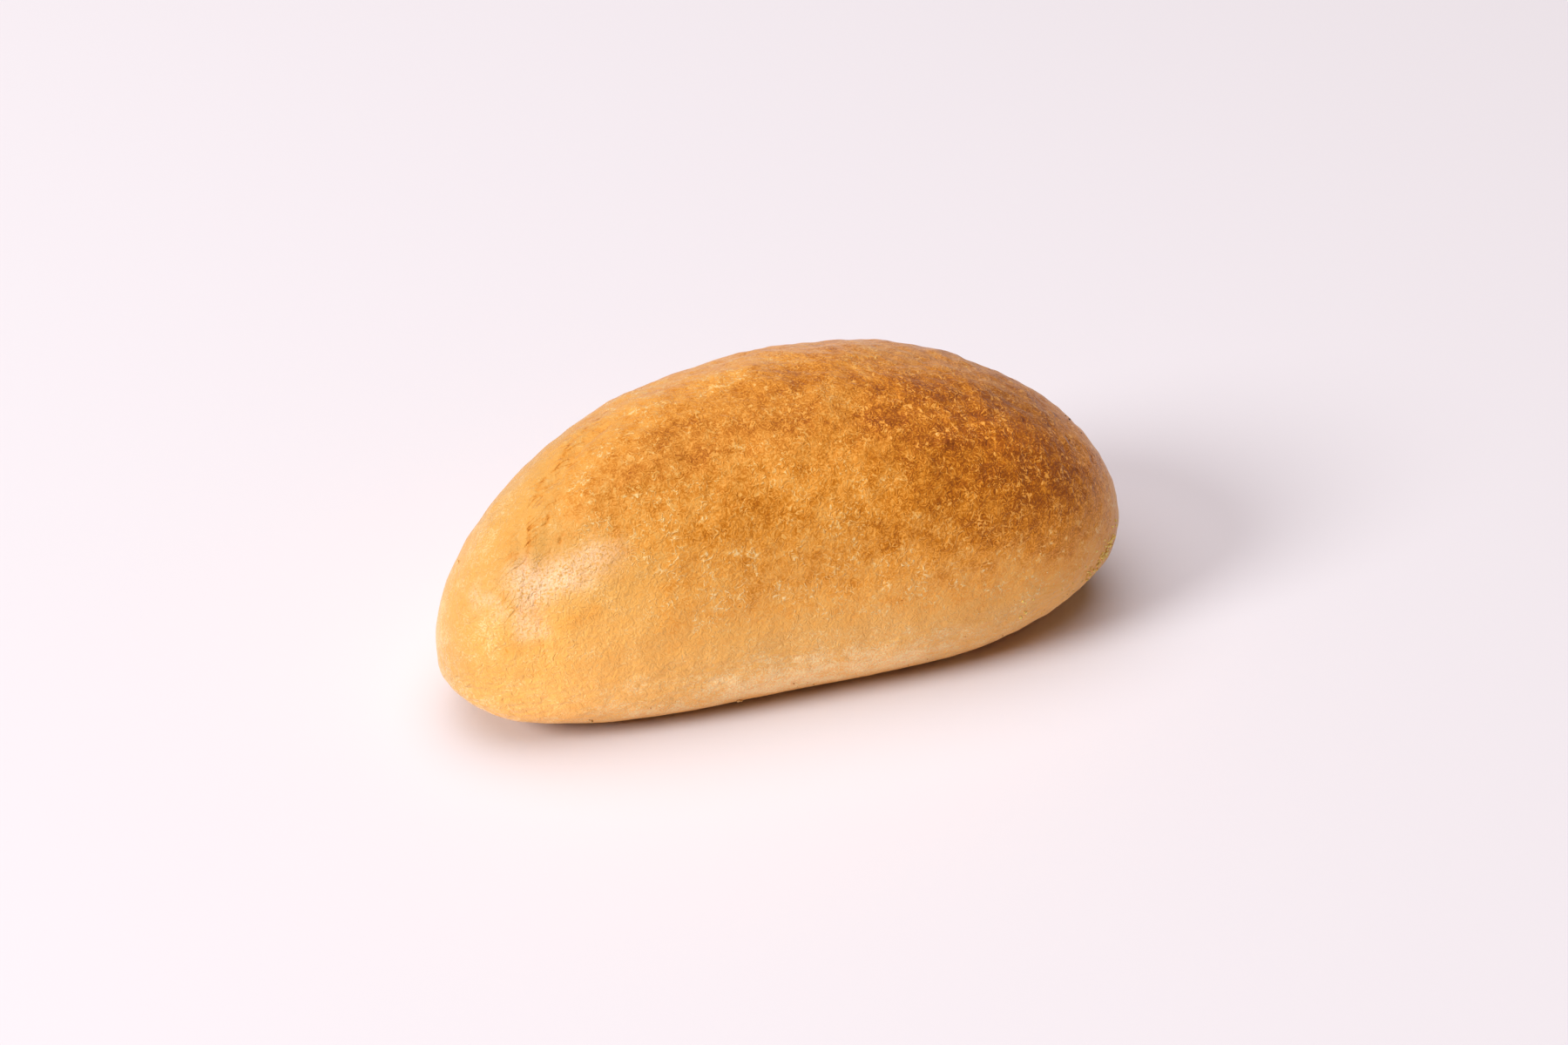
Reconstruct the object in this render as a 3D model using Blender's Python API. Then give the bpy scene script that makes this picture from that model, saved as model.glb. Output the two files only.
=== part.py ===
"""A soft oblong bread roll, shaped by hand and baked on a flat tray: one solid piece.

Metres, +Z up. +X runs along the roll to its broader end and +Y to its back. The origin is on
the flat foot, under the middle of the whole roll.
"""

import bmesh
import bpy
import numpy as np

# Driving dimensions
LENGTH = 0.1256  # before the swells
WIDTH = 0.0615  # halfway along
HEIGHT = 0.0513
BELLY_HEIGHT = 0.0128  # where the sides stand out furthest, halfway along
BELLY_RISE = 0.16  # how much higher that is at the far end, as a share
FOOT_EDGE = 0.0025  # height over which the sides turn into the flat foot

# How the dough was shaped
NEAR_END_FULLNESS = 2.27  # 2 is a plain ellipse, more is blunter
FAR_END_FULLNESS = 2.15
SIDE_FULLNESS = 2.1
FOOT_FULLNESS = 2.84  # the same for the sides below the belly
TUCK_UNDER = 1.36  # how steeply the sides turn in below the belly
BROADENING = 0.253  # how much the far end gains in width, as a share
BEND = 0.0101  # how far both ends come forward of the middle
LEAN = 0.0042  # how far the crown comes forward of the foot

# Swells (+) and dents (-) of the dough: direction from the middle, reach and height
SWELLS = (
    ((-0.92, -0.10, -0.40), 0.40, -0.0024),  # heel of the near end
    ((-0.85, 0.42, 0.35), 0.30, 0.0008),  # top of the near end
    ((-0.30, 0.62, 0.72), 0.25, 0.0007),  # crown towards the near end
    ((-0.05, -0.80, -0.60), 0.35, -0.0006),  # waist along the front
    ((0.74, -0.58, -0.30), 0.36, -0.0017),  # front of the far end
    ((0.76, 0.26, 0.60), 0.18, -0.0004),  # crown towards the far end
)

# The fold where the near end was tucked in: a shallow groove across the crown
FOLD_MIDDLE = (-0.0419, -0.0066)  # in plan
FOLD_TURN = np.radians(48)  # the way it runs in plan, turned from +X
FOLD_LENGTH = 0.036
FOLD_WIDTH = 0.006
FOLD_DEPTH = 0.0006

PATCH_SEGMENTS = 28  # along each side of the six patches that cover the roll

CRUST_COLOUR = (0.60, 0.26, 0.06, 1.0)
CRUST_ROUGHNESS = 0.55


def clear_scene():
    for obj in list(bpy.data.objects):
        bpy.data.objects.remove(obj)


def ball_directions(bm):
    """Cover a ball with six even patches and return each vertex's direction from its centre."""
    bmesh.ops.create_cube(bm, size=2.0)
    bmesh.ops.subdivide_edges(
        bm, edges=bm.edges[:], cuts=PATCH_SEGMENTS - 1, use_grid_fill=True
    )
    cube = np.array([vert.co for vert in bm.verts])
    even = np.tan(cube * np.pi / 4)
    return even / np.linalg.norm(even, axis=1)[:, None]


def plump(directions):
    """Swell the ball towards a box, so that the ends and sides are full and not pointed."""
    along, across, up = np.abs(directions).T
    end = np.where(directions[:, 0] < 0, NEAR_END_FULLNESS, FAR_END_FULLNESS)
    side = np.where(directions[:, 2] < 0, FOOT_FULLNESS, SIDE_FULLNESS)
    section = (across**side + up**side) ** (1 / side)
    reach = (along**end + section**end) ** (-1 / end)
    return directions * reach[:, None]


def bare_form(directions):
    """The smooth dough: broader at the far end, bent a little forward and leaning forward."""
    along, across, up = plump(directions).T
    belly = BELLY_HEIGHT * (1 + BELLY_RISE * along)
    rise = np.where(up > 0, HEIGHT - belly, belly * TUCK_UNDER)
    x = along * LENGTH / 2
    z = belly + rise * up
    y = across * WIDTH / 2 * (1 + BROADENING * along)
    y -= BEND * (along**2 - 0.5) + LEAN * (z / HEIGHT - 0.5)
    return np.stack([x, y, z], axis=1)


def swell(directions):
    push = np.zeros(len(directions))
    for centre, reach, height in SWELLS:
        apart = directions - np.array(centre) / np.linalg.norm(centre)
        push += height * np.exp(-(apart**2).sum(axis=1) / reach**2)
    return push


def fold(points):
    """The groove of the fold, which fades out at both ends and leaves the foot alone."""
    x, y = (points[:, :2] - FOLD_MIDDLE).T
    lengthwise = x * np.cos(FOLD_TURN) + y * np.sin(FOLD_TURN)
    sideways = y * np.cos(FOLD_TURN) - x * np.sin(FOLD_TURN)
    apart = (lengthwise / (FOLD_LENGTH / 2)) ** 2 + (sideways / (FOLD_WIDTH / 2)) ** 2
    return FOLD_DEPTH * np.exp(-apart) * np.clip(points[:, 2] / BELLY_HEIGHT - 1, 0, 1)


def outwards(directions):
    leaning = directions / (LENGTH, WIDTH, HEIGHT)
    return leaning / np.linalg.norm(leaning, axis=1)[:, None]


def settle(height):
    """Flatten what would sink below the tray, with a soft edge round the foot."""
    edge = (height + FOOT_EDGE) ** 2 / (4 * FOOT_EDGE)
    return np.where(height > FOOT_EDGE, height, np.where(height < -FOOT_EDGE, 0.0, edge))


def roll_form(directions):
    """Turn each direction from the ball's centre into a point on the roll's crust."""
    points = bare_form(directions)
    push = swell(directions) - fold(points)
    points += outwards(directions) * push[:, None]
    points[:, 2] = settle(points[:, 2])
    middle = (points.min(axis=0) + points.max(axis=0)) / 2
    return points - (middle[0], middle[1], 0.0)


def crust_material():
    material = bpy.data.materials.new("crust")
    material.use_nodes = True
    shader = material.node_tree.nodes["Principled BSDF"]
    shader.inputs["Base Color"].default_value = CRUST_COLOUR
    shader.inputs["Roughness"].default_value = CRUST_ROUGHNESS
    shader.inputs["Metallic"].default_value = 0.0
    return material


def make_roll():
    bm = bmesh.new()
    points = roll_form(ball_directions(bm))
    for vert, point in zip(bm.verts, points):
        vert.co = point
    for face in bm.faces:
        face.smooth = True
    mesh = bpy.data.meshes.new("bread_roll")
    bm.to_mesh(mesh)
    bm.free()
    mesh.materials.append(crust_material())
    roll = bpy.data.objects.new("bread_roll", mesh)
    bpy.context.scene.collection.objects.link(roll)
    return roll


clear_scene()
make_roll()
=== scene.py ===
"""The looks of a soft oblong bread roll.

They are its baked crust, the meal, crumbs and charred specks that cling to it, and a table.
"""

import bmesh
import bpy
import numpy as np
from mathutils import Matrix, Vector, noise


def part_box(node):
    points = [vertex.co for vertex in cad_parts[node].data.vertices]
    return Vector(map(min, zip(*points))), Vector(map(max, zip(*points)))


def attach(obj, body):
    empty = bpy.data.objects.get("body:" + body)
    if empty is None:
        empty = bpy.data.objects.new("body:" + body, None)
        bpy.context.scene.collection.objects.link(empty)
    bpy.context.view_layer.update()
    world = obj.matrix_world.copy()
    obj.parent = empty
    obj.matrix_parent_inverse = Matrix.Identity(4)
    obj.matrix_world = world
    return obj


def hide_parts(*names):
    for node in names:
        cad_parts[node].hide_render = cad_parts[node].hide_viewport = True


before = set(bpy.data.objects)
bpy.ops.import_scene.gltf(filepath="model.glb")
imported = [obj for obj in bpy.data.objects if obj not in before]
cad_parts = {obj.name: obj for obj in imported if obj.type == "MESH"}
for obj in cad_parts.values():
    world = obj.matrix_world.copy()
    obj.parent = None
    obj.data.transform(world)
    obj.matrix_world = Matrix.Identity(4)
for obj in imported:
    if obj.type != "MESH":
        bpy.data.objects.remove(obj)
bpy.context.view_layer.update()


# ---------------------------------------------------------------------------------------------
# The roll's crust. Wheat dough, shaped by hand into an oblong, tucked under at the near end and
# baked on a flat tray. The oven dries its skin to a thin browned crust, which puckers along the
# fold and stays pale low on the sides, where less heat reaches it.

HEIGHT = 0.0513
LENGTH = 0.1256  # before the swells
WIDTH = 0.0615  # halfway along
BELLY_HEIGHT = 0.0128  # where the sides stand out furthest, halfway along
BELLY_RISE = 0.16  # how much higher that is at the far end, as a share
FOOT_EDGE = 0.0025  # height over which the sides turn into the flat foot
NEAR_END_FULLNESS = 2.27  # 2 is a plain ellipse, more is blunter
FAR_END_FULLNESS = 2.15
SIDE_FULLNESS = 2.1
FOOT_FULLNESS = 2.84  # the same for the sides below the belly
TUCK_UNDER = 1.36  # how steeply the sides turn in below the belly
BROADENING = 0.253  # how much the far end gains in width, as a share
BEND = 0.0101  # how far both ends come forward of the middle
LEAN = 0.0042  # how far the crown comes forward of the foot
SWELLS = (
    ((-0.92, -0.10, -0.40), 0.40, -0.0024),  # heel of the near end
    ((-0.85, 0.42, 0.35), 0.30, 0.0008),  # top of the near end
    ((-0.30, 0.62, 0.72), 0.25, 0.0007),  # crown towards the near end
    ((-0.05, -0.80, -0.60), 0.35, -0.0006),  # waist along the front
    ((0.74, -0.58, -0.30), 0.36, -0.0017),  # front of the far end
    ((0.76, 0.26, 0.60), 0.18, -0.0004),  # crown towards the far end
)
FOLD_MIDDLE = (-0.0419, -0.0066)  # in plan
FOLD_TURN = np.radians(48)  # the way it runs in plan, turned from +X
FOLD_LENGTH = 0.036
FOLD_WIDTH = 0.006
FOLD_DEPTH = 0.0006
PATCH_SEGMENTS = 128


def ball_directions(bm):
    """Cover a ball with six even patches and return each vertex's direction from its centre."""
    bmesh.ops.create_cube(bm, size=2.0)
    bmesh.ops.subdivide_edges(
        bm, edges=bm.edges[:], cuts=PATCH_SEGMENTS - 1, use_grid_fill=True
    )
    cube = np.array([vert.co for vert in bm.verts])
    even = np.tan(cube * np.pi / 4)
    return even / np.linalg.norm(even, axis=1)[:, None]


def plump(directions):
    """Swell the ball towards a box, so that the ends and sides are full and not pointed."""
    along, across, up = np.abs(directions).T
    end = np.where(directions[:, 0] < 0, NEAR_END_FULLNESS, FAR_END_FULLNESS)
    side = np.where(directions[:, 2] < 0, FOOT_FULLNESS, SIDE_FULLNESS)
    section = (across**side + up**side) ** (1 / side)
    reach = (along**end + section**end) ** (-1 / end)
    return directions * reach[:, None]


def bare_form(directions):
    """The smooth dough: broader at the far end, bent a little forward and leaning forward."""
    along, across, up = plump(directions).T
    belly = BELLY_HEIGHT * (1 + BELLY_RISE * along)
    rise = np.where(up > 0, HEIGHT - belly, belly * TUCK_UNDER)
    x = along * LENGTH / 2
    z = belly + rise * up
    y = across * WIDTH / 2 * (1 + BROADENING * along)
    y -= BEND * (along**2 - 0.5) + LEAN * (z / HEIGHT - 0.5)
    return np.stack([x, y, z], axis=1)


def swell(directions):
    push = np.zeros(len(directions))
    for centre, reach, height in SWELLS:
        apart = directions - np.array(centre) / np.linalg.norm(centre)
        push += height * np.exp(-(apart**2).sum(axis=1) / reach**2)
    return push


def fold(points):
    """The groove of the fold, which fades out at both ends and leaves the foot alone."""
    x, y = (points[:, :2] - FOLD_MIDDLE).T
    lengthwise = x * np.cos(FOLD_TURN) + y * np.sin(FOLD_TURN)
    sideways = y * np.cos(FOLD_TURN) - x * np.sin(FOLD_TURN)
    apart = (lengthwise / (FOLD_LENGTH / 2)) ** 2 + (sideways / (FOLD_WIDTH / 2)) ** 2
    return FOLD_DEPTH * np.exp(-apart) * np.clip(points[:, 2] / BELLY_HEIGHT - 1, 0, 1)


def outwards(directions):
    leaning = directions / (LENGTH, WIDTH, HEIGHT)
    return leaning / np.linalg.norm(leaning, axis=1)[:, None]


def settle(height):
    """Flatten what would sink below the tray, with a soft edge round the foot."""
    edge = (height + FOOT_EDGE) ** 2 / (4 * FOOT_EDGE)
    return np.where(height > FOOT_EDGE, height, np.where(height < -FOOT_EDGE, 0.0, edge))


def roll_form(directions):
    """Turn each direction from the ball's centre into a point on the roll's crust."""
    points = bare_form(directions)
    push = swell(directions) - fold(points)
    points += outwards(directions) * push[:, None]
    points[:, 2] = settle(points[:, 2])
    low, high = np.array(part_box("bread_roll"))
    own_low, own_high = points.min(axis=0), points.max(axis=0)
    return low + (points - own_low) * (high - low) / (own_high - own_low)


MM = 0.001


def lumps(points, size, seed):
    """Smooth unevenness between about -1 and 1, whose lumps are `size` apart."""
    return np.array([noise.noise(Vector(spot)) for spot in points / size + seed])


# Unevenness of the skin, from coarse to fine, in metres: how far apart its lumps are, how high
# they stand on the sides, how much higher on top and at the far end, and their pattern's seed
BROAD_LUMPS = (0.018, 0.00030, 0.0, 0.0, 11.3)
DENTS = (0.0085, 0.00020, 0.00022, 0.0, 2.9)
DIMPLES = (0.0040, 0.00010, 0.00015, 0.0, 4.7)
PUCKERS = (0.0020, 0.00006, 0.00009, 0.00006, 8.1)
TOP_FROM = 0.5  # upward slope of the skin above which it counts as the top
TOP_EASE = 2.5  # how fast it does, beyond that
FAR_END = 0.04  # the far end's full effect is from here on, along the roll
CALM_HEIGHT = 0.004  # the skin gets calmer below this, where it lay on the tray
CALMEST = 0.3  # the share of its relief that is left at the foot

# The ridge over the crown, where the dough was rolled up, in millimetres
RIDGE = ((19.7, 3.1, 49.2), (12.1, -4.9, 50.7), (4.1, -11.8, 49.7), (-3.8, -17.4, 46.4))
RIDGE_HALF_WIDTH = 4.0
RIDGE_HEIGHT = 0.45

# The line along which the fold's lips meet, from the crown to the near end
SEAM = (
    (-29.7, -0.2, 47.4),
    (-33.5, -1.7, 46.3),
    (-38.8, -5.4, 44.5),
    (-43.3, -7.6, 42.5),
    (-47.0, -9.0, 40.2),
    (-49.0, -12.4, 37.6),
    (-50.0, -15.2, 34.6),
)
SEAM_HALF_WIDTH = 1.1
SEAM_DEPTH = 0.45
SEAM_WANDER = 2.25  # how far it strays sideways, against the height of the dents it meets


def closeness(points, path, half_width):
    """1 on a path whose corners are in millimetres, falling off to 0 over `half_width`."""
    closest = np.full(len(points), np.inf)
    for start, end in zip(path, path[1:]):
        start, end = np.array(start), np.array(end)
        line = end - start
        share = np.clip((points / MM - start) @ line / (line @ line), 0, 1)
        apart = points / MM - start - share[:, None] * line
        closest = np.minimum(closest, (apart**2).sum(axis=1))
    return np.exp(-closest / half_width**2)


def skin_relief(points, normals):
    """How far the skin stands out of the smooth form, before its creases and its grain."""
    far_end = np.clip(points[:, 0] / FAR_END, 0, 1)
    on_top = np.clip((normals[:, 2] - TOP_FROM) * TOP_EASE, 0, 1)

    def lumpy(size, height, higher_on_top, higher_at_far_end, seed):
        tall = height + higher_on_top * on_top + higher_at_far_end * far_end
        return tall * lumps(points, size, seed)

    dents = lumpy(*DENTS)
    uneven = lumpy(*BROAD_LUMPS) + dents + lumpy(*DIMPLES) + lumpy(*PUCKERS)
    above_foot = np.clip(points[:, 2] / CALM_HEIGHT, CALMEST, 1)
    ridge = RIDGE_HEIGHT * MM * closeness(points, RIDGE, RIDGE_HALF_WIDTH)
    strayed = points + SEAM_WANDER * dents[:, None]
    seam = SEAM_DEPTH * MM * closeness(strayed, SEAM, SEAM_HALF_WIDTH)
    return ridge - seam + uneven * above_foot


def mesh_object(name, bm, material):
    mesh = bpy.data.meshes.new(name)
    for face in bm.faces:
        face.smooth = True
    bm.to_mesh(mesh)
    bm.free()
    mesh.materials.append(material)
    obj = bpy.data.objects.new(name, mesh)
    bpy.context.scene.collection.objects.link(obj)
    return obj


# How far the skin is baked, from 0 for pale dough to 1 for dark brown
BAKED_LOW = -0.04  # beside the foot, before the patches
BAKED_HIGH = 0.50  # on top
BAKED_FROM = 0.0103  # heights between which it goes from one to the other
BAKED_TO = 0.0319
PALEST = -0.15
RIM_HEIGHT = 0.004  # the rim of the foot took colour again from the hot tray
RIM_BROWNER = 0.9
PATCHES = (  # the way to the middle, reach, how much more baked, how much brighter as painted light and shade
    ((-0.86, -0.39, 0.33), 0.16, -0.18, 0.14),  # stretched skin beside the fold, paler partly as a painted highlight
    ((-0.73, -0.42, 0.54), 0.27, -0.36, -0.13),
    ((-0.79, 0.16, 0.59), 0.52, -0.57, -0.19),  # top of the near end
    ((-0.97, -0.21, 0.09), 0.46, 0.12, -0.23),  # tip of the near end
    ((-0.76, -0.65, -0.06), 0.37, 0.14, 0.36),  # heel
    ((-0.59, -0.70, 0.41), 0.20, -0.40, 0.11),
    ((0.00, -0.93, -0.37), 0.37, -0.16, 0.17),  # waist along the front
    ((0.68, -0.56, -0.48), 0.35, 0.14, 0.14),  # front of the far end
    ((0.89, -0.44, -0.09), 0.23, 0.26, -0.10),
    ((0.65, -0.53, 0.55), 0.60, 0.64, 0.06),  # shoulder that faced the oven's heat
    ((0.96, -0.24, 0.13), 0.50, -0.17, -0.17),  # tip of the far end
    ((-0.39, -0.22, 0.89), 0.36, 0.33, -0.07),  # crown
    ((0.34, -0.27, 0.90), 0.26, 0.28, 0.13),
    ((0.51, 0.00, 0.86), 0.33, -0.02, -0.12),
    ((-0.03, -0.35, 0.94), 0.10, 0.23, -0.06),  # hollows beside the ridge, darker as painted shade
    ((0.04, -0.09, 1.00), 0.16, 0.27, -0.13),
    ((0.16, -0.24, 0.96), 0.11, -0.25, -0.09),  # the ridge, paler as a painted highlight
    ((0.53, 0.67, 0.53), 0.60, 0.42, -0.14),  # back of the crown
    ((-0.50, -0.34, 0.80), 0.16, 0.20, 0.0),  # smaller patches on the crown
    ((-0.22, -0.73, 0.65), 0.16, 0.20, 0.0),
    ((0.06, -0.70, 0.72), 0.14, -0.10, 0.08),
    ((0.05, -0.09, 1.0), 0.12, 0.0, 0.10),
    ((0.56, -0.44, 0.71), 0.12, -0.04, 0.22),
    ((0.70, -0.18, 0.70), 0.14, 0.04, -0.16),
    ((0.71, -0.49, 0.51), 0.12, 0.10, -0.06),
)
# the painted light and shade starts at this level everywhere, before the patches
PLAIN_PAINTED_LIGHT = 1.07


def bake(points, directions):
    """Return how far each spot is baked, and the painted light and shade that brightens or
    darkens its skin.
    """
    rise = np.clip((points[:, 2] - BAKED_FROM) / (BAKED_TO - BAKED_FROM), 0, 1)
    browning = BAKED_LOW + (BAKED_HIGH - BAKED_LOW) * rise**2 * (3 - 2 * rise)
    painted_light = np.full(len(points), PLAIN_PAINTED_LIGHT)
    for centre, reach, browner, painted_lighter in PATCHES:
        apart = directions - np.array(centre) / np.linalg.norm(centre)
        share = np.exp(-(apart**2).sum(axis=1) / reach**2)
        browning += browner * share
        painted_light += painted_lighter * share
    rim = np.clip(1 - points[:, 2] / RIM_HEIGHT, 0, 1)
    return np.maximum(browning, PALEST) + RIM_BROWNER * rim, painted_light


def roll_mesh():
    """Return the roll's mesh in the making, how baked its vertices are, and their painted light
    and shade.
    """
    bm = bmesh.new()
    directions = ball_directions(bm)
    points = roll_form(directions)
    baking_and_painted_light = bake(points, directions)
    for vert, point in zip(bm.verts, points):
        vert.co = point
    bm.normal_update()
    normals = np.array([vert.normal for vert in bm.verts])
    points += normals * skin_relief(points, normals)[:, None]
    points[:, 2] = np.maximum(points[:, 2], 0)
    for vert, point in zip(bm.verts, points):
        vert.co = point
    return bm, baking_and_painted_light


# Crust colours, by how far the skin is baked
CRUST_COLOURS = (
    (-0.3, (0.84, 0.55, 0.225)),  # dry skin over a bubble
    (0.0, (0.74, 0.375, 0.086)),  # pale dough
    (0.3, (0.75, 0.345, 0.065)),
    (0.5, (0.73, 0.300, 0.045)),  # gold
    (0.7, (0.64, 0.235, 0.023)),
    (0.9, (0.50, 0.158, 0.0065)),  # brown
    (1.1, (0.33, 0.085, 0.002)),
    (1.4, (0.17, 0.034, 0.001)),  # scorched
)
LOW_PAINTED_LIGHT_AND_TINT = (1.27, 1.30, 1.45)  # painted light that brightens the low sides against the dry skin above, with the paler hue of their soft skin
FOOT_TINT = (1.0, 1.03, 1.12)  # and lower still, where it hardly coloured
LOW_HEIGHTS = (15.0, 48.0)  # millimetres between which the low tint fades out
FOOT_HEIGHTS = (9.0, 20.0)
# the stretched skin's pale colour is partly a painted highlight of the left lamp
STRETCHED_SKIN_AND_HIGHLIGHT_COLOUR = (0.95, 0.62, 0.35, 1.0)
STRETCHED_SKIN_AND_HIGHLIGHT_COVER = 0.85  # the most that this colour covers
STRETCHED_GLAZE = 0.25  # stretched skin is glossier too
CRUST_ROUGHNESS = 0.5
CRUST_GLOSS = 0.14
SHEEN = 0.40
SHEEN_ROUGHNESS = 0.4
SHEEN_TINT = (1.0, 0.86, 0.80, 1.0)
GLAZE_ROUGHNESS = 0.30

# Creases of the skin: both ends on the crust and half-width, in millimetres, and strength
CREASES = (
    ((-30.7, 3.1, 46.2), (-36.0, -0.7, 45.4), 0.45, 0.7),  # the fold, over the crown
    ((-36.0, -0.7, 45.4), (-39.0, -4.1, 44.5), 0.52, 0.9),
    ((-41.6, -4.4, 43.4), (-43.4, -6.5, 42.6), 0.45, 1.0),
    ((-46.9, -9.9, 40.2), (-47.6, -12.7, 38.6), 0.52, 0.9),  # and down the near end
    ((-47.6, -12.7, 38.6), (-50.5, -16.5, 33.4), 0.60, 1.0),
    ((-50.5, -16.5, 33.4), (-50.9, -18.4, 30.0), 0.45, 0.6),
    ((-43.8, -12.2, 40.6), (-44.8, -12.9, 39.8), 0.38, 1.0),  # short tucks beside it
    ((-42.4, -15.4, 39.4), (-43.3, -16.2, 38.3), 0.38, 1.0),
    ((-49.4, -20.5, 25.9), (-49.1, -21.6, 22.4), 0.45, 0.6),
    ((-56.9, -16.8, 25.6), (-57.8, -17.3, 22.2), 0.20, 0.4),  # marks of the near end
    ((-54.8, -19.4, 22.3), (-54.8, -19.6, 21.5), 0.25, 0.5),
    ((-48.1, -22.4, 19.2), (-51.2, -21.5, 16.7), 0.25, 0.3),
    ((41.9, -16.7, 41.0), (41.9, -17.3, 40.8), 0.40, 0.8),  # pits of the far end
    ((54.2, -19.2, 31.5), (53.9, -20.2, 31.2), 0.40, 1.0),
    ((50.2, -18.0, 35.7), (50.2, -18.9, 35.3), 0.30, 0.8),
    ((50.4, -11.9, 37.3), (50.6, -12.7, 37.0), 0.30, 0.8),
    ((49.0, -23.5, 32.7), (49.0, -24.2, 32.2), 0.30, 0.8),
    ((53.5, -27.0, 17.6), (53.4, -27.2, 16.6), 0.35, 0.8),
)
STRETCHED_SKIN_AND_HIGHLIGHT = (  # skin pulled thin beside the fold, partly a painted highlight: ends, half-width and strength
    ((-49.5, -17.5, 32.0), (-44.5, -19.2, 34.0), 3.2, 1.0),
    ((-44.5, -19.2, 34.0), (-38.0, -20.0, 36.5), 3.2, 0.8),
    ((-50.5, -18.3, 30.5), (-50.5, -20.1, 24.5), 1.8, 0.6),
    ((-57.5, -12.1, 29.6), (-54.8, -17.7, 27.1), 1.6, 0.5),
)
HEATED = ((-45.3, -22.2, 26.3), (-40.5, -23.1, 27.7), 1.8, 1.0)  # a browned spot below it
FOLDED = (  # the path of the fold, where fine strokes run along it
    ((-27.0, 6.0, 46.5), (-39.0, -4.0, 44.5), 3.5, 1.0),
    ((-39.0, -4.0, 44.5), (-48.0, -12.0, 39.0), 4.0, 1.0),
    ((-48.0, -12.0, 39.0), (-52.0, -19.0, 28.0), 4.0, 1.0),
)

# How places are shifted before a pattern is drawn on them, so that it isn't too regular: over
# what distance and how far, in millimetres
CURLED = {"size": 1.1, "amount": 1.3}
WAVERING = {"size": 2.0, "amount": 0.9}
BENDING = {"size": 4.0, "amount": 1.4}
RAGGED = {"size": 5.0, "amount": 4.0}

# Patterns of the skin, sized in millimetres, with how much more or less baked they make it, and
# the patches that they are kept to
GOLDEN = (-0.05, 0.6)  # where pale skin starts to turn golden, and is golden
BROWN = (0.2, 1.0)  # and to turn brown, and is brown
BLOTCHES = {"size": 6.0, "amount": 0.52, "detail": 1.0}
CLOUDS = {"size": 2.2, "amount": 0.66, "detail": 1.0}
PATCHINESS = (0.5, 1.1)  # the share of those two on pale skin and on golden skin
BROWN_CALM = 0.8  # the share of most patterns that is left on the brownest skin
STREAKS = {"size": 3.0, "amount": 0.34, "detail": 1.0}  # along the roll
STREAKS_SLIM = (0.35, 1.0, 1.0)
STREAKS_GONE = 0.7  # how brown the skin is where none are left
PORES = {"size": 0.34, "amount": 1.0, "detail": 1.0}
PORES_OPEN = (0.9, 1.7)  # on pale skin and on golden skin
PORES_BROWNER = 0.10  # at most
STROKES = {"size": 0.8, "width": 0.09}
STROKES_SLIM = (0.16, 1.0, 0.16)
STROKES_KEPT = {"size": 2.5, "low": 0.35, "high": 0.55}
STROKES_BROWNER = 0.50
SMALL_FLECKS = {"size": 0.75, "width": 0.08}
SMALL_FLECKS_KEPT = {"size": 0.8, "low": 0.45, "high": 0.55}
LARGE_FLECKS = {"size": 1.7, "width": 0.07}
LARGE_FLECKS_KEPT = {"size": 1.4, "low": 0.57, "high": 0.63}
FLECKS_GATHERED = {"size": 3.5, "low": 0.38, "high": 0.62, "least": 0.25}
FLECKS_PALER = (-0.03, -0.82)  # on pale skin and on golden skin
BLISTERS = {"spacing": 1.5, "radius": 0.45, "kept": 0.18}
BLISTERS_PALER = (-0.06, -0.70)  # on pale skin and on brown skin
SPECKS = {"spacing": 1.5, "radius": 0.17, "kept": 0.3}
SPECKS_BROWNER = 0.45
CREASES_BROWNER = 0.45
HEATED_BROWNER = 0.35
THIN_SPOTS = {"size": 0.40, "amount": 1.0, "detail": 2.0}  # in the stretched skin
THIN_SPOTS_EDGE = (-0.20, 0.08)
TINT_EDGE = {"size": 9.0, "amount": 9.0, "detail": 2.0}  # raggedness of the low tints' edges

# The same for the relief of the skin, with its height in millimetres
LEATHER = {"size": 0.45, "amount": 0.16, "detail": 2.0}
RIPPLES = {"size": 1.3, "amount": 0.20, "detail": 1.0}
WRINKLES = {"size": 0.9, "amount": 0.28}  # along the roll, low on its sides
WRINKLES_SLIM = (0.3, 1.0, 1.0)
WRINKLED_HEIGHTS = (12.0, 20.0)  # between which they fade out
CREASE_DEPTH = 0.14
STROKE_DEPTH = 0.06
FLECK_HEIGHT = 0.04


def place(tree, kind, **settings):
    node = tree.nodes.new(kind)
    for name, value in settings.items():
        setattr(node, name, value)
    return node


def put(tree, value, socket):
    """Give a socket a value or another node's output."""
    if isinstance(value, bpy.types.NodeSocket):
        tree.links.new(value, socket)
    else:
        socket.default_value = value


def feed(tree, node, **inputs):
    """Fill a node's sockets, which are named here with _ for a space."""
    for name, value in inputs.items():
        put(tree, value, node.inputs[name.replace("_", " ")])
    return node


def maths(tree, operation, *values):
    node = place(tree, "ShaderNodeMath", operation=operation)
    for socket, value in zip(node.inputs, values):
        put(tree, value, socket)
    return node.outputs[0]


def total(tree, *values):
    added = values[0]
    for value in values[1:]:
        added = maths(tree, "ADD", added, value)
    return added


def product(tree, *values):
    multiplied = values[0]
    for value in values[1:]:
        multiplied = maths(tree, "MULTIPLY", multiplied, value)
    return multiplied


def vectors(tree, operation, *values):
    node = place(tree, "ShaderNodeVectorMath", operation=operation)
    for socket, value in zip(node.inputs, values):
        put(tree, value, socket)
    return node


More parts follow.
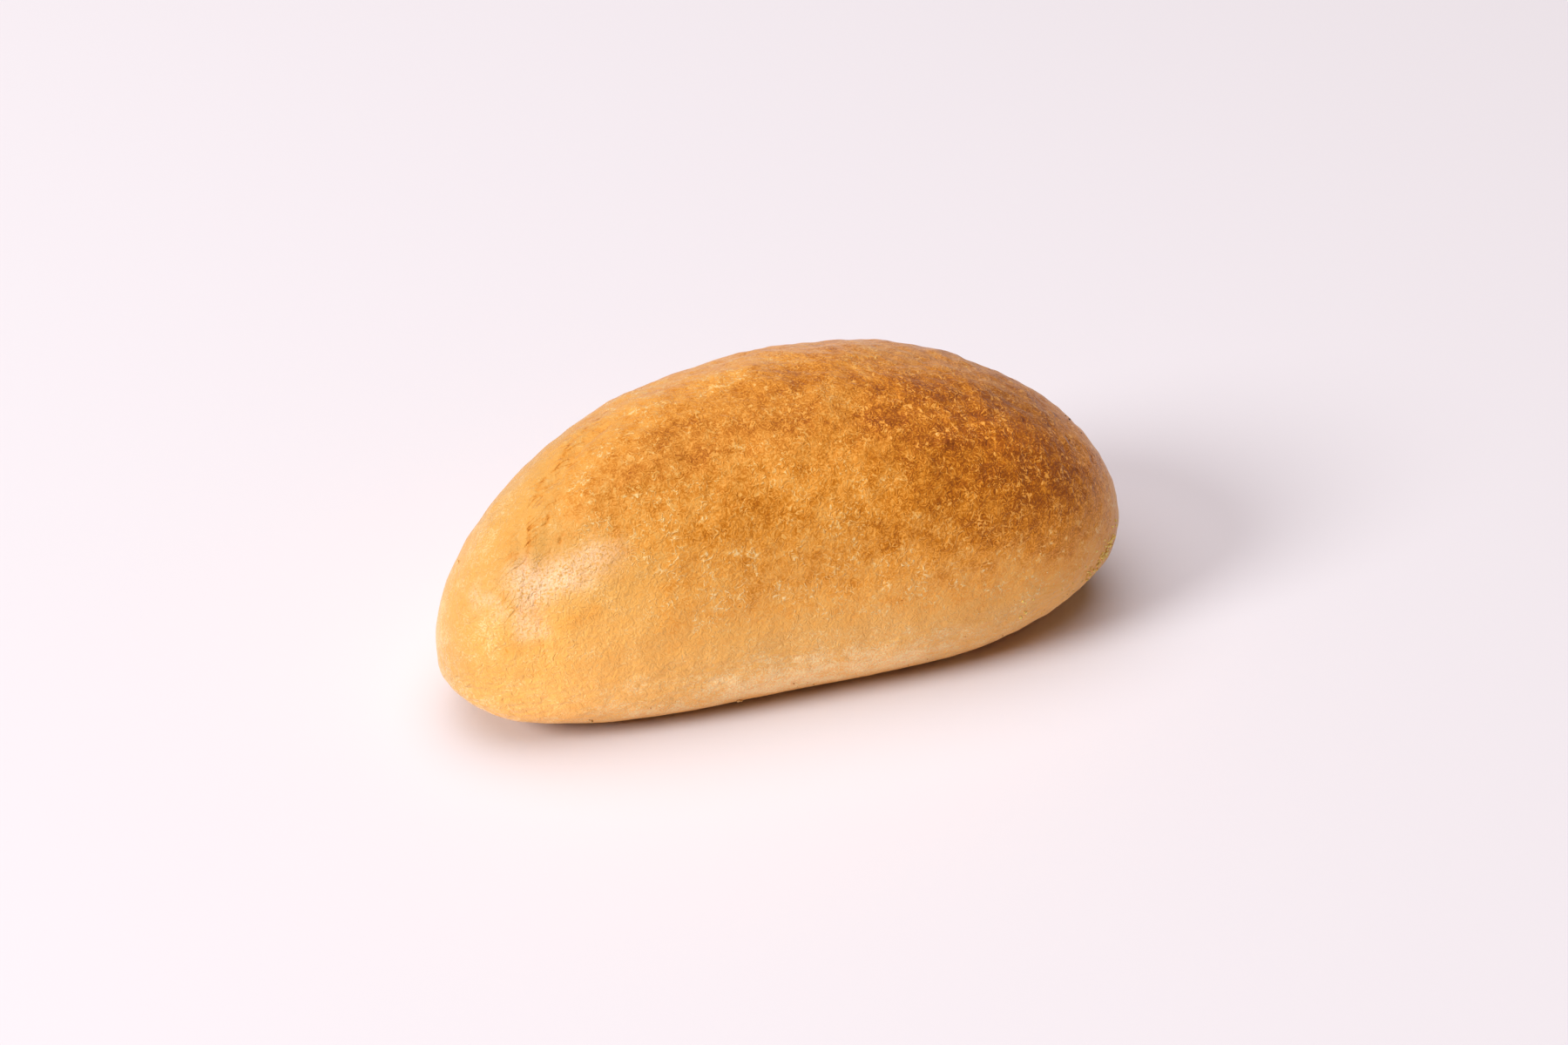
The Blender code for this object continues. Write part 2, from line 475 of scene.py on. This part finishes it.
def ramp(tree, value, low, high, to_low=0.0, to_high=1.0):
    """Ease a value from `to_low` to `to_high` as it goes from `low` to `high`."""
    node = place(tree, "ShaderNodeMapRange", interpolation_type="SMOOTHSTEP")
    feed(tree, node, Value=value, From_Min=low, From_Max=high, To_Min=to_low, To_Max=to_high)
    return node.outputs["Result"]


def fading(tree, value, low, high):
    """1 below `low`, easing to 0 at `high`."""
    return ramp(tree, value, low, high, to_low=1.0, to_high=0.0)


def blend(tree, share, first, second):
    node = place(tree, "ShaderNodeMix", data_type="RGBA")
    colours = [socket for socket in node.inputs if socket.type == "RGBA"]
    for socket, value in zip([node.inputs["Factor"], *colours], (share, first, second)):
        put(tree, value, socket)
    return next(socket for socket in node.outputs if socket.type == "RGBA")


def tinted(tree, share, colour, tint):
    """Multiply a colour by `tint`, or by part of it where `share` is below 1."""
    whole = vectors(tree, "MULTIPLY", colour, tint).outputs["Vector"]
    return blend(tree, share, colour, whole)


def millimetres(tree):
    """Places on the object, in millimetres."""
    metres = place(tree, "ShaderNodeTexCoord").outputs["Object"]
    scaled = place(tree, "ShaderNodeVectorMath", operation="SCALE")
    return feed(tree, scaled, Vector=metres, Scale=1 / MM).outputs["Vector"]


def grain(tree, places, size, detail=0.0):
    """A noise pattern of mean 0.5 whose marks are `size` millimetres across."""
    node = place(tree, "ShaderNodeTexNoise")
    return feed(tree, node, Vector=places, Scale=1 / size, Detail=detail, Roughness=0.5)


def islands(tree, places, size, low, high, least=0.0):
    """Soft-edged patches where that pattern is high, for breaking up what is drawn on them."""
    return ramp(tree, grain(tree, places, size).outputs["Fac"], low, high, to_low=least)


def unevenness(tree, places, size, amount, detail=0.0):
    """The same pattern about 0, scaled by `amount`."""
    pattern = grain(tree, places, size, detail).outputs["Fac"]
    return maths(tree, "MULTIPLY", maths(tree, "SUBTRACT", pattern, 0.5), amount)


def loosen(tree, places, size, amount):
    """Shift places about, so that what is drawn on them gets ragged edges."""
    shift = vectors(tree, "SUBTRACT", grain(tree, places, size).outputs["Color"], (0.5, 0.5, 0.5))
    moved = vectors(tree, "MULTIPLY_ADD", shift.outputs[0], (amount, amount, amount), places)
    return moved.outputs[0]


def drawn_out(tree, places, turn, scale):
    """Places turned in plan and scaled, so that marks on them run one way."""
    node = place(tree, "ShaderNodeMapping")
    feed(tree, node, Vector=places, Rotation=(0.0, 0.0, turn), Scale=scale)
    return node.outputs["Vector"]


def thin_lines(tree, places, size, width):
    """Winding lines about `size` millimetres apart, where a noise pattern crosses its mean."""
    pattern = grain(tree, places, size).outputs["Fac"]
    off = maths(tree, "ABSOLUTE", maths(tree, "SUBTRACT", pattern, 0.5))
    return fading(tree, off, 0.0, width)


def dots(tree, places, spacing, radius, kept):
    """Round dots, of which the share `kept` shows; they're about `spacing` apart at most."""
    cells = place(tree, "ShaderNodeTexVoronoi")
    feed(tree, cells, Vector=places, Scale=1 / spacing)
    chance = place(tree, "ShaderNodeSeparateColor")
    feed(tree, chance, Color=cells.outputs["Color"])
    shown = maths(tree, "LESS_THAN", chance.outputs["Red"], kept)
    near = fading(tree, cells.outputs["Distance"], 0.5 * radius / spacing, radius / spacing)
    return maths(tree, "MULTIPLY", near, shown)


def crease_group():
    """A group that masks the neighbourhood of the straight line between two places."""
    group = bpy.data.node_groups.new("crease", "ShaderNodeTree")
    for name in ("Place", "Start", "End"):
        group.interface.new_socket(name, in_out="INPUT", socket_type="NodeSocketVector")
    for name in ("Half Width", "Strength"):
        group.interface.new_socket(name, in_out="INPUT", socket_type="NodeSocketFloat")
    group.interface.new_socket("Mask", in_out="OUTPUT", socket_type="NodeSocketFloat")
    given = group.nodes.new("NodeGroupInput").outputs
    result = group.nodes.new("NodeGroupOutput")
    line = vectors(group, "SUBTRACT", given["End"], given["Start"]).outputs["Vector"]
    reach = vectors(group, "SUBTRACT", given["Place"], given["Start"]).outputs["Vector"]
    along = vectors(group, "DOT_PRODUCT", reach, line).outputs["Value"]
    whole = vectors(group, "DOT_PRODUCT", line, line).outputs["Value"]
    share = maths(group, "DIVIDE", along, whole)
    share = maths(group, "MINIMUM", maths(group, "MAXIMUM", share, 0.0), 1.0)
    foot = place(group, "ShaderNodeVectorMath", operation="SCALE")
    feed(group, foot, Vector=line, Scale=share)
    apart = vectors(group, "DISTANCE", reach, foot.outputs["Vector"]).outputs["Value"]
    widths = maths(group, "DIVIDE", apart, given["Half Width"])
    close = maths(group, "EXPONENT", product(group, widths, widths, -1.0))
    feed(group, result, Mask=product(group, close, given["Strength"]))
    return group


def along_line(tree, group, places, start, end, half_width, strength):
    node = place(tree, "ShaderNodeGroup", node_tree=group)
    feed(tree, node, Place=places, Start=start, End=end, Half_Width=half_width, Strength=strength)
    return node.outputs["Mask"]


def along_lines(tree, group, places, lines):
    """The strongest of the masks along several lines."""
    strongest = 0.0
    for start, end, half_width, strength in lines:
        mask = along_line(tree, group, places, start, end, half_width, strength)
        strongest = maths(tree, "MAXIMUM", strongest, mask)
    return strongest


def dried_flecks(tree, places, curled):
    """Pale flecks, short and winding, where the skin dried over small bubbles."""
    broken = islands(tree, places, **SMALL_FLECKS_KEPT)
    small = product(tree, thin_lines(tree, curled, **SMALL_FLECKS), broken)
    broken = islands(tree, places, **LARGE_FLECKS_KEPT)
    large = product(tree, thin_lines(tree, curled, **LARGE_FLECKS), broken)
    gathered = islands(tree, places, **FLECKS_GATHERED)
    return product(tree, maths(tree, "MAXIMUM", small, large), gathered)


def crust_colour(tree, baked):
    """The crust's colour, by how far it is baked."""
    lowest, highest = CRUST_COLOURS[0][0], CRUST_COLOURS[-1][0]
    shares = place(tree, "ShaderNodeMapRange")
    feed(tree, shares, Value=baked, From_Min=lowest, From_Max=highest)
    colours = place(tree, "ShaderNodeValToRGB")
    stops = colours.color_ramp.elements
    stops.remove(stops[1])
    stops[0].color = (*CRUST_COLOURS[0][1], 1.0)
    for level, colour in CRUST_COLOURS[1:]:
        stop = stops.new((level - lowest) / (highest - lowest))
        stop.color = (*colour, 1.0)
    return feed(tree, colours, Fac=shares.outputs["Result"]).outputs["Color"]


def crust_material():
    material = bpy.data.materials.new("baked crust")
    material.use_nodes = True
    tree = material.node_tree
    shader = tree.nodes["Principled BSDF"]

    places = millimetres(tree)
    curled = loosen(tree, places, **CURLED)
    wavering = loosen(tree, places, **WAVERING)
    bending = loosen(tree, places, **BENDING)
    ragged = loosen(tree, places, **RAGGED)
    height = feed(tree, place(tree, "ShaderNodeSeparateXYZ"), Vector=places).outputs["Z"]

    # the fold: its creases, the fine strokes along it, and the skin stretched beside it, partly a
    # painted highlight
    group = crease_group()
    crease = along_lines(tree, group, bending, CREASES)
    stretched_skin_and_highlight = along_lines(tree, group, ragged, STRETCHED_SKIN_AND_HIGHLIGHT)
    heated = along_line(tree, group, wavering, *HEATED)
    folded = along_lines(tree, group, places, FOLDED)
    lengthwise = drawn_out(tree, bending, -FOLD_TURN, STROKES_SLIM)
    kept = islands(tree, places, **STROKES_KEPT)
    strokes = product(tree, thin_lines(tree, lengthwise, **STROKES), folded, kept)

    # how far each spot is baked
    baked = place(tree, "ShaderNodeAttribute", attribute_name="browning").outputs["Fac"]
    brown = ramp(tree, baked, *BROWN)
    golden = ramp(tree, baked, *GOLDEN)
    calmer = ramp(tree, brown, 0.5, 1.0, 1.0, BROWN_CALM)
    livelier = ramp(tree, golden, 0.0, 1.0, *PATCHINESS)
    patchy = total(tree, unevenness(tree, places, **BLOTCHES), unevenness(tree, places, **CLOUDS))
    patchy = product(tree, patchy, livelier, calmer)
    streaks = unevenness(tree, drawn_out(tree, ragged, 0.0, STREAKS_SLIM), **STREAKS)
    streaks = product(tree, streaks, fading(tree, brown, 0.0, STREAKS_GONE))
    flecks = dried_flecks(tree, places, curled)
    dried = product(tree, flecks, ramp(tree, golden, 0.0, 1.0, *FLECKS_PALER), calmer)
    blisters = dots(tree, curled, **BLISTERS)
    blistered = product(tree, blisters, ramp(tree, brown, 0.0, 1.0, *BLISTERS_PALER))
    opened = ramp(tree, golden, 0.0, 1.0, *PORES_OPEN)
    pores = product(tree, unevenness(tree, curled, **PORES), opened, calmer)
    pores = maths(tree, "MINIMUM", pores, PORES_BROWNER)
    specks = product(tree, dots(tree, places, **SPECKS), SPECKS_BROWNER)
    browned = total(
        tree,
        product(tree, crease, CREASES_BROWNER),
        product(tree, strokes, STROKES_BROWNER),
        product(tree, heated, HEATED_BROWNER),
    )
    baked = total(tree, baked, patchy, streaks, dried, blistered, pores, specks, browned)

    # its colour: by how far it is baked, then the stretched skin, partly a painted highlight, the
    # softer skin low down with painted light, and the patches' painted light and shade
    colour = crust_colour(tree, baked)
    thin_spots = ramp(tree, unevenness(tree, places, **THIN_SPOTS), *THIN_SPOTS_EDGE)
    thinned_skin_and_highlight = product(tree, stretched_skin_and_highlight, thin_spots, STRETCHED_SKIN_AND_HIGHLIGHT_COVER)
    colour = blend(tree, thinned_skin_and_highlight, colour, STRETCHED_SKIN_AND_HIGHLIGHT_COLOUR)
    ragged_height = total(tree, height, unevenness(tree, places, **TINT_EDGE))
    colour = tinted(tree, fading(tree, ragged_height, *LOW_HEIGHTS), colour, LOW_PAINTED_LIGHT_AND_TINT)
    colour = tinted(tree, fading(tree, ragged_height, *FOOT_HEIGHTS), colour, FOOT_TINT)
    # painted light and shade: the colour is scaled brighter or darker by the patches
    painted_light = place(tree, "ShaderNodeAttribute", attribute_name="painted_light").outputs["Fac"]
    painted_lit_colour = place(tree, "ShaderNodeVectorMath", operation="SCALE")
    feed(tree, painted_lit_colour, Vector=colour, Scale=painted_light)
    tree.links.new(painted_lit_colour.outputs["Vector"], shader.inputs["Base Color"])

    # its relief: leathery grain, low wrinkles, raised flecks, and sunk creases and strokes
    sideways = drawn_out(tree, wavering, 0.0, WRINKLES_SLIM)
    low_down = fading(tree, height, *WRINKLED_HEIGHTS)
    relief = total(
        tree,
        unevenness(tree, curled, **LEATHER),
        unevenness(tree, curled, **RIPPLES),
        product(tree, flecks, FLECK_HEIGHT),
        product(tree, crease, -CREASE_DEPTH),
        product(tree, strokes, -STROKE_DEPTH),
        product(tree, unevenness(tree, sideways, **WRINKLES), low_down),
    )
    bump = place(tree, "ShaderNodeBump")
    feed(tree, bump, Height=relief, Distance=MM, Strength=1.0)
    tree.links.new(bump.outputs["Normal"], shader.inputs["Normal"])
    shader.inputs["Roughness"].default_value = CRUST_ROUGHNESS
    shader.inputs["Specular IOR Level"].default_value = CRUST_GLOSS
    shader.inputs["Sheen Weight"].default_value = SHEEN
    shader.inputs["Sheen Roughness"].default_value = SHEEN_ROUGHNESS
    shader.inputs["Sheen Tint"].default_value = SHEEN_TINT
    glaze = product(tree, stretched_skin_and_highlight, STRETCHED_GLAZE)
    tree.links.new(glaze, shader.inputs["Coat Weight"])
    shader.inputs["Coat Roughness"].default_value = GLAZE_ROUGHNESS
    return material


crust_mesh, crust_baking_and_painted_light = roll_mesh()
crust = mesh_object("crust", crust_mesh, crust_material())
for kind, values in zip(("browning", "painted_light"), crust_baking_and_painted_light):
    crust.data.attributes.new(kind, "FLOAT", "POINT").data.foreach_set("value", values)
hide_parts("bread_roll")
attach(crust, "root")


# ---------------------------------------------------------------------------------------------
# The meal on the roll. Coarse yellow maize meal from the baker's tray, whose grains stuck to
# the damp dough low on the far end before it was baked.

MEAL_COLOUR = (0.90, 0.56, 0.10, 1.0)
MEAL_PALE = (1.0, 0.80, 0.30, 1.0)
MEAL_SEED = 5
MEAL_STUCK = (  # where, in millimetres: how far they're strewn, how many, their size
    ((55.5, -25.2, 16.5), 1.0, 18, 0.70),
    ((53.5, -26.5, 14.5), 1.0, 22, 0.70),
    ((51.5, -27.4, 12.5), 1.1, 16, 0.65),
    ((56.5, -24.0, 18.0), 1.3, 8, 0.50),
    ((52.5, -27.6, 17.7), 2.4, 9, 0.40),
    ((45.0, -29.5, 12.0), 4.0, 8, 0.38),
    ((35.4, -30.9, 9.7), 0.5, 3, 0.75),
    ((35.2, -31.9, 13.5), 1.5, 4, 0.45),
)
MEAL_ROUGHNESS = 0.7

# The shape of a broken grain, as shares of its size
CHIP_HALF_LENGTH = 0.5
CHIP_HALF_WIDTH = (0.30, 0.45)
CHIP_HALF_HEIGHT = (0.28, 0.42)
CHIP_CORNERS = (0.75, 1.12)  # how far in or out each corner lies
CHIP_LIFT = 0.18  # how far its middle stands off the crust
CHIP_SIZES = (0.6, 1.3)  # against the size of its cluster
CHIP_SHIFT = 0.3  # in millimetres, along the crust

# The flour on it: patches that go from one colour to the other, and their height
FLOUR = {"size": 0.25, "detail": 2.0}
FLOUR_EDGE = (0.35, 0.65)
FLOUR_HEIGHT = 0.08


def crust_spots():
    """Return the places and normals of the crust's vertices."""
    count = len(crust.data.vertices)
    places, normals = np.empty(count * 3), np.empty(count * 3)
    crust.data.vertices.foreach_get("co", places)
    crust.data.vertices.foreach_get("normal", normals)
    return places.reshape(-1, 3), normals.reshape(-1, 3)


def chip(bm, spot, normal, size, rng):
    """Add one broken grain that lies against the crust, half sunk in it."""
    turn = Vector(normal).to_track_quat("Z", "Y").to_matrix()
    turn = turn @ Matrix.Rotation(rng.uniform(0, 2 * np.pi), 3, "Z")
    half_width = rng.uniform(*CHIP_HALF_WIDTH)
    half_height = rng.uniform(*CHIP_HALF_HEIGHT)
    stretch = Vector((CHIP_HALF_LENGTH, half_width, half_height)) * size
    for vert in bmesh.ops.create_icosphere(bm, subdivisions=1, radius=1.0)["verts"]:
        vert.co = vert.co * rng.uniform(*CHIP_CORNERS) * stretch
        vert.co = turn @ vert.co + Vector(spot) + Vector(normal) * size * CHIP_LIFT


def strewn(clusters, seed):
    """Return a mesh in the making, of chips stuck to the crust in clusters."""
    rng = np.random.default_rng(seed)
    spots, normals = crust_spots()
    bm = bmesh.new()
    for middle, spread, count, size in clusters:
        for _ in range(count):
            wanted = np.array(middle) + rng.normal(0, spread, 3)
            nearest = np.argmin(((spots - wanted * MM) ** 2).sum(axis=1))
            shift = np.cross(normals[nearest], rng.normal(0, CHIP_SHIFT * MM, 3))
            own_size = size * MM * rng.uniform(*CHIP_SIZES)
            chip(bm, spots[nearest] + shift, normals[nearest], own_size, rng)
    return bm


def flour_group():
    """A group that dusts a colour with a paler one, and gives the dust its height."""
    group = bpy.data.node_groups.new("flour", "ShaderNodeTree")
    group.interface.new_socket("Place", in_out="INPUT", socket_type="NodeSocketVector")
    for name in ("Colour", "Paler"):
        group.interface.new_socket(name, in_out="INPUT", socket_type="NodeSocketColor")
    group.interface.new_socket("Dusted", in_out="OUTPUT", socket_type="NodeSocketColor")
    group.interface.new_socket("Height", in_out="OUTPUT", socket_type="NodeSocketFloat")
    given = group.nodes.new("NodeGroupInput").outputs
    result = group.nodes.new("NodeGroupOutput")
    flour = grain(group, given["Place"], **FLOUR).outputs["Fac"]
    dusted = blend(group, ramp(group, flour, *FLOUR_EDGE), given["Colour"], given["Paler"])
    feed(group, result, Dusted=dusted, Height=product(group, flour, FLOUR_HEIGHT))
    return group


def floury_material(name, group, colour, paler, roughness):
    """A dry material, dusted with flour."""
    material = bpy.data.materials.new(name)
    material.use_nodes = True
    tree = material.node_tree
    shader = tree.nodes["Principled BSDF"]
    flour = place(tree, "ShaderNodeGroup", node_tree=group)
    feed(tree, flour, Place=millimetres(tree), Colour=colour, Paler=paler)
    tree.links.new(flour.outputs["Dusted"], shader.inputs["Base Color"])
    bump = place(tree, "ShaderNodeBump")
    feed(tree, bump, Height=flour.outputs["Height"], Distance=MM, Strength=1.0)
    tree.links.new(bump.outputs["Normal"], shader.inputs["Normal"])
    shader.inputs["Roughness"].default_value = roughness
    shader.inputs["Specular IOR Level"].default_value = CRUST_GLOSS
    return material


flour = flour_group()
meal_material = floury_material("maize meal", flour, MEAL_COLOUR, MEAL_PALE, MEAL_ROUGHNESS)
meal = mesh_object("meal", strewn(MEAL_STUCK, MEAL_SEED), meal_material)
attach(meal, "root")


# ---------------------------------------------------------------------------------------------
# The crumbs on the roll. Small flakes of golden crust, rubbed off other rolls, which cling to
# its lower edge and its near end.

CRUMB_COLOUR = (0.62, 0.30, 0.07, 1.0)
CRUMB_PALE = (0.88, 0.62, 0.30, 1.0)
CRUMB_ROUGHNESS = 0.8
CRUMB_SEED = 8
CRUMBS_STUCK = (  # as for the meal
    ((-57.0, -2.6, 29.6), 0.2, 2, 0.60),
    ((-41.3, -21.6, 4.2), 0.5, 3, 0.60),
    ((-14.6, -24.3, 2.7), 0.4, 3, 0.75),
    ((-3.6, -26.2, 3.6), 1.2, 4, 0.50),
    ((14.0, -27.0, 4.0), 6.0, 5, 0.35),
    ((38.0, -27.0, 5.5), 5.0, 7, 0.38),
    ((-30.0, -23.5, 3.0), 6.0, 5, 0.38),
)

crumb_material = floury_material("crumbs", flour, CRUMB_COLOUR, CRUMB_PALE, CRUMB_ROUGHNESS)
crumbs = mesh_object("crumbs", strewn(CRUMBS_STUCK, CRUMB_SEED), crumb_material)
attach(crumbs, "root")


# ---------------------------------------------------------------------------------------------
# The charred specks. Burnt, nearly black crumbs from the oven floor, which stuck to the dough on
# top of the far end.

CHAR_COLOUR = (0.020, 0.010, 0.006, 1.0)
CHAR_PALE = (0.075, 0.040, 0.022, 1.0)
CHAR_ROUGHNESS = 0.9
CHAR_SEED = 3
CHAR_STUCK = (  # as for the meal
    ((54.6, -9.7, 33.9), 0.15, 2, 0.55),
    ((55.6, -13.5, 31.0), 1.5, 2, 0.28),
    ((50.2, -18.4, 35.5), 0.2, 1, 0.30),
)

char_material = floury_material("char", flour, CHAR_COLOUR, CHAR_PALE, CHAR_ROUGHNESS)
char = mesh_object("char", strewn(CHAR_STUCK, CHAR_SEED), char_material)
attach(char, "root")


# ---------------------------------------------------------------------------------------------
# The table and the light. A plain pale sheet of card, lit by a wide soft box overhead, a soft
# lamp low to the left, which throws the shadow, and the faint light of the room all round.

CARD_SIZE = 4.0
CARD_COLOUR = (0.76, 0.715, 0.735, 1.0)
CARD_ROUGHNESS = 0.9
SOFT_BOX = {"distance": 2.0, "size": 2.6, "watts": 46, "colour": (0.98, 0.935, 0.965)}
LEFT_LAMP = {"distance": 2.5, "size": 1.0, "watts": 49.5, "colour": (0.94, 0.98, 1.0)}
ROOM_COLOUR = (1.0, 0.84, 0.72, 1.0)
ROOM_STRENGTH = 0.07


def card_material():
    material = bpy.data.materials.new("pale card")
    material.use_nodes = True
    shader = material.node_tree.nodes["Principled BSDF"]
    shader.inputs["Base Color"].default_value = CARD_COLOUR
    shader.inputs["Roughness"].default_value = CARD_ROUGHNESS
    shader.inputs["Specular IOR Level"].default_value = 0.0
    return material


def card_sheet():
    bm = bmesh.new()
    bmesh.ops.create_grid(bm, x_segments=1, y_segments=1, size=CARD_SIZE / 2)
    return bm


def soft_lamp(name, towards, distance, size, watts, colour):
    """A round lamp, `size` across, that stands off in the given direction and faces the roll."""
    lamp_data = bpy.data.lights.new(name, "AREA")
    lamp_data.shape = "DISK"
    lamp_data.size = size
    lamp_data.energy = watts
    lamp_data.color = colour
    lamp = bpy.data.objects.new(name, lamp_data)
    lamp.location = Vector(towards).normalized() * distance
    lamp.rotation_euler = Vector(towards).to_track_quat("Z", "Y").to_euler()
    bpy.context.scene.collection.objects.link(lamp)


card = mesh_object("card", card_sheet(), card_material())

soft_lamp("soft box", towards=(-0.16, 0.05, 0.98), **SOFT_BOX)
soft_lamp("left lamp", towards=(-0.84, -0.12, 0.53), **LEFT_LAMP)

world = bpy.data.worlds.new("room")
world.use_nodes = True
background = world.node_tree.nodes["Background"]
background.inputs["Color"].default_value = ROOM_COLOUR
background.inputs["Strength"].default_value = ROOM_STRENGTH
bpy.context.scene.world = world

bpy.context.scene.view_settings.view_transform = "Standard"


# ---------------------------------------------------------------------------------------------
# The camera, above the table and in front of the roll's near end. It is a few lengths of the roll
# away, with a long lens, so that the far end looks hardly smaller than the near one.

CAMERA_TURN = np.radians(23.95)  # from straight in front towards the near end
CAMERA_RISE = np.radians(34)
CAMERA_DISTANCE = 0.6464
CAMERA_AIM = Vector((0.0028, -0.0031, 0.0215))
LENS_MM = 85

camera_from = Vector(
    (
        -np.sin(CAMERA_TURN) * np.cos(CAMERA_RISE),
        -np.cos(CAMERA_TURN) * np.cos(CAMERA_RISE),
        np.sin(CAMERA_RISE),
    )
)
camera_data = bpy.data.cameras.new("camera")
camera_data.lens = LENS_MM
camera = bpy.data.objects.new("camera", camera_data)
camera.location = CAMERA_AIM + camera_from * CAMERA_DISTANCE
camera.rotation_euler = camera_from.to_track_quat("Z", "Y").to_euler()
bpy.context.scene.collection.objects.link(camera)
bpy.context.scene.camera = camera
